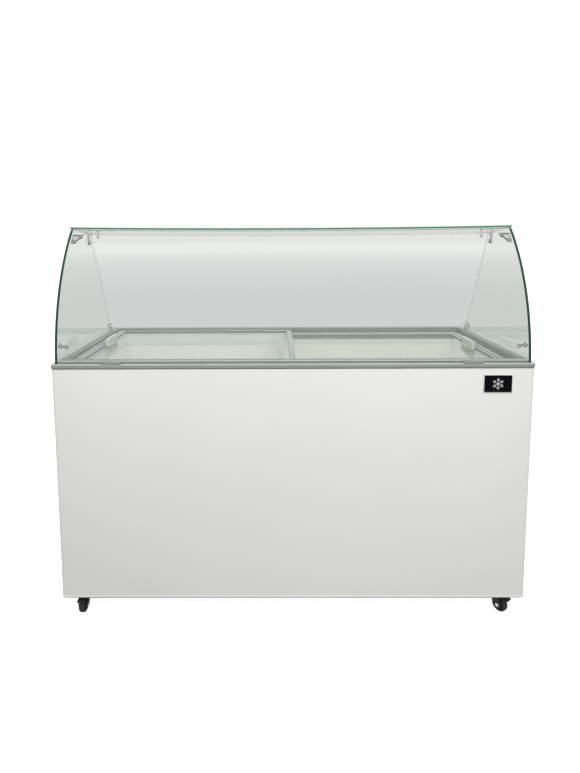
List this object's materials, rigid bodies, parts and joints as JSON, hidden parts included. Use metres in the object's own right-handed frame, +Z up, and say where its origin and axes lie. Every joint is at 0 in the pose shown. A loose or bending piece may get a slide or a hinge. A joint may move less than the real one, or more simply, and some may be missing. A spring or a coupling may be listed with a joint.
{
  "type": "chest freezer",
  "caption": "Ice-cream chest freezer on castors with a bent-glass serving canopy, a glass top shelf and sliding glass lids over a stepped, insulated well.",
  "frame": {"origin": "on the floor, under the middle of the cabinet", "axes": "+X to the right as seen by a customer at the front, +Y to the back where the seller stands, +Z up"},
  "size_m": [1.518, 0.676, 1.279],
  "materials": {
    "white_paint": "satin",
    "liner_paint": "satin",
    "foam": "matte",
    "zinc": "satin",
    "rim_grey": "satin",
    "collar_grey": "satin",
    "lid_grey": "satin",
    "grip_grey": "satin",
    "glass": "gloss",
    "chrome": "gloss",
    "black_plastic": "satin",
    "wheel_black": "satin",
    "compressor_black": "satin",
    "copper": "satin",
    "fan_metal": "satin",
    "panel_grey": "satin",
    "lamp_green": "gloss"
  },
  "bodies": {
    "cabinet": {"outer_shell": "white_paint", "back_panel": "white_paint", "inner_liner": "liner_paint", "foam_insulation": "foam", "base_pan": "zinc", "compressor_tray": "zinc", "fan_bracket": "zinc", "top_rim": "rim_grey", "glass_clamp_left": "rim_grey", "glass_clamp_right": "rim_grey", "lid_collar": "collar_grey", "front_glass": "glass", "top_glass": "glass", "left_side_glass": "glass", "right_side_glass": "glass", "top_bracket_left": "chrome", "top_bracket_right": "chrome", "front_clip_left": "chrome", "front_clip_right": "chrome", "rear_clip_left": "chrome", "rear_clip_right": "chrome", "badge_plate": "black_plastic", "drain_pipe": "black_plastic", "cable_gland": "black_plastic", "fan_motor": "black_plastic", "compressor": "compressor_black", "condenser_coil": "compressor_black", "caster_plate_fl": "compressor_black", "caster_plate_fr": "compressor_black", "caster_plate_rl": "compressor_black", "caster_plate_rr": "compressor_black", "evaporator_coil": "copper", "filter_drier": "copper", "rear_grille": "panel_grey", "control_panel": "panel_grey", "power_lamp": "lamp_green"},
    "left_lid": {"left_lid_frame": "lid_grey", "left_lid_glass": "glass", "left_lid_handle": "grip_grey"},
    "right_lid": {"right_lid_frame": "lid_grey", "right_lid_glass": "glass", "right_lid_handle": "grip_grey"},
    "caster_swivel_fl": {"caster_fork_fl": "compressor_black", "caster_axle_fl": "zinc"},
    "caster_wheel_fl": {"caster_wheel_fl": "wheel_black"},
    "caster_swivel_fr": {"caster_fork_fr": "compressor_black", "caster_axle_fr": "zinc"},
    "caster_wheel_fr": {"caster_wheel_fr": "wheel_black"},
    "caster_swivel_rl": {"caster_fork_rl": "compressor_black", "caster_axle_rl": "zinc"},
    "caster_wheel_rl": {"caster_wheel_rl": "wheel_black"},
    "caster_swivel_rr": {"caster_fork_rr": "compressor_black", "caster_axle_rr": "zinc"},
    "caster_wheel_rr": {"caster_wheel_rr": "wheel_black"},
    "brake_fl": {"brake_pedal_fl": "black_plastic"},
    "brake_fr": {"brake_pedal_fr": "black_plastic"},
    "fan": {"fan_blade": "fan_metal"},
    "thermostat": {"thermostat_knob": "black_plastic"},
    "drain_plug": {"drain_plug": "black_plastic"}
  },
  "joints": [
    {"name": "left_lid_slide", "type": "slide", "parent": "cabinet", "child": "left_lid", "axis": [1, 0, 0], "range_m": [0, 0.62]},
    {"name": "right_lid_slide", "type": "slide", "parent": "cabinet", "child": "right_lid", "axis": [1, 0, 0], "range_m": [-0.62, 0]},
    {"name": "caster_fl_swivel", "type": "hinge", "parent": "cabinet", "child": "caster_swivel_fl", "pos_m": [-0.698, -0.28, 0.06], "axis": [0, 0, 1], "continuous": true},
    {"name": "caster_fl_spin", "type": "hinge", "parent": "caster_swivel_fl", "child": "caster_wheel_fl", "pos_m": [-0.698, -0.3, 0.025], "axis": [1, 0, 0], "continuous": true},
    {"name": "caster_fr_swivel", "type": "hinge", "parent": "cabinet", "child": "caster_swivel_fr", "pos_m": [0.68195, -0.28, 0.06], "axis": [0, 0, 1], "continuous": true},
    {"name": "caster_fr_spin", "type": "hinge", "parent": "caster_swivel_fr", "child": "caster_wheel_fr", "pos_m": [0.69342, -0.29638, 0.025], "axis": [0.8192, 0.5736, 0], "continuous": true},
    {"name": "caster_rl_swivel", "type": "hinge", "parent": "cabinet", "child": "caster_swivel_rl", "pos_m": [-0.698, 0.28, 0.06], "axis": [0, 0, 1], "continuous": true},
    {"name": "caster_rl_spin", "type": "hinge", "parent": "caster_swivel_rl", "child": "caster_wheel_rl", "pos_m": [-0.69116, 0.29879, 0.025], "axis": [-0.9397, 0.342, 0], "continuous": true},
    {"name": "caster_rr_swivel", "type": "hinge", "parent": "cabinet", "child": "caster_swivel_rr", "pos_m": [0.68195, 0.28, 0.06], "axis": [0, 0, 1], "continuous": true},
    {"name": "caster_rr_spin", "type": "hinge", "parent": "caster_swivel_rr", "child": "caster_wheel_rr", "pos_m": [0.6761, 0.29913, 0.025], "axis": [-0.9563, -0.2924, 0], "continuous": true},
    {"name": "brake_fl_press", "type": "hinge", "parent": "caster_swivel_fl", "child": "brake_fl", "pos_m": [-0.698, -0.294, 0.0545], "axis": [1, 0, 0], "range_deg": [0, 14]},
    {"name": "brake_fr_press", "type": "hinge", "parent": "caster_swivel_fr", "child": "brake_fr", "pos_m": [0.68998, -0.29147, 0.0545], "axis": [0.8192, 0.5736, 0], "range_deg": [0, 14]},
    {"name": "fan_spin", "type": "hinge", "parent": "cabinet", "child": "fan", "pos_m": [0.595, 0.216, 0.195], "axis": [0, 1, 0], "continuous": true},
    {"name": "thermostat_turn", "type": "hinge", "parent": "cabinet", "child": "thermostat", "pos_m": [0.5, 0.32, 0.342], "axis": [0, -1, 0], "range_deg": [0, 270]},
    {"name": "drain_plug_pull", "type": "slide", "parent": "cabinet", "child": "drain_plug", "axis": [0, 0, 1], "range_m": [0, 0.06]}
  ]
}
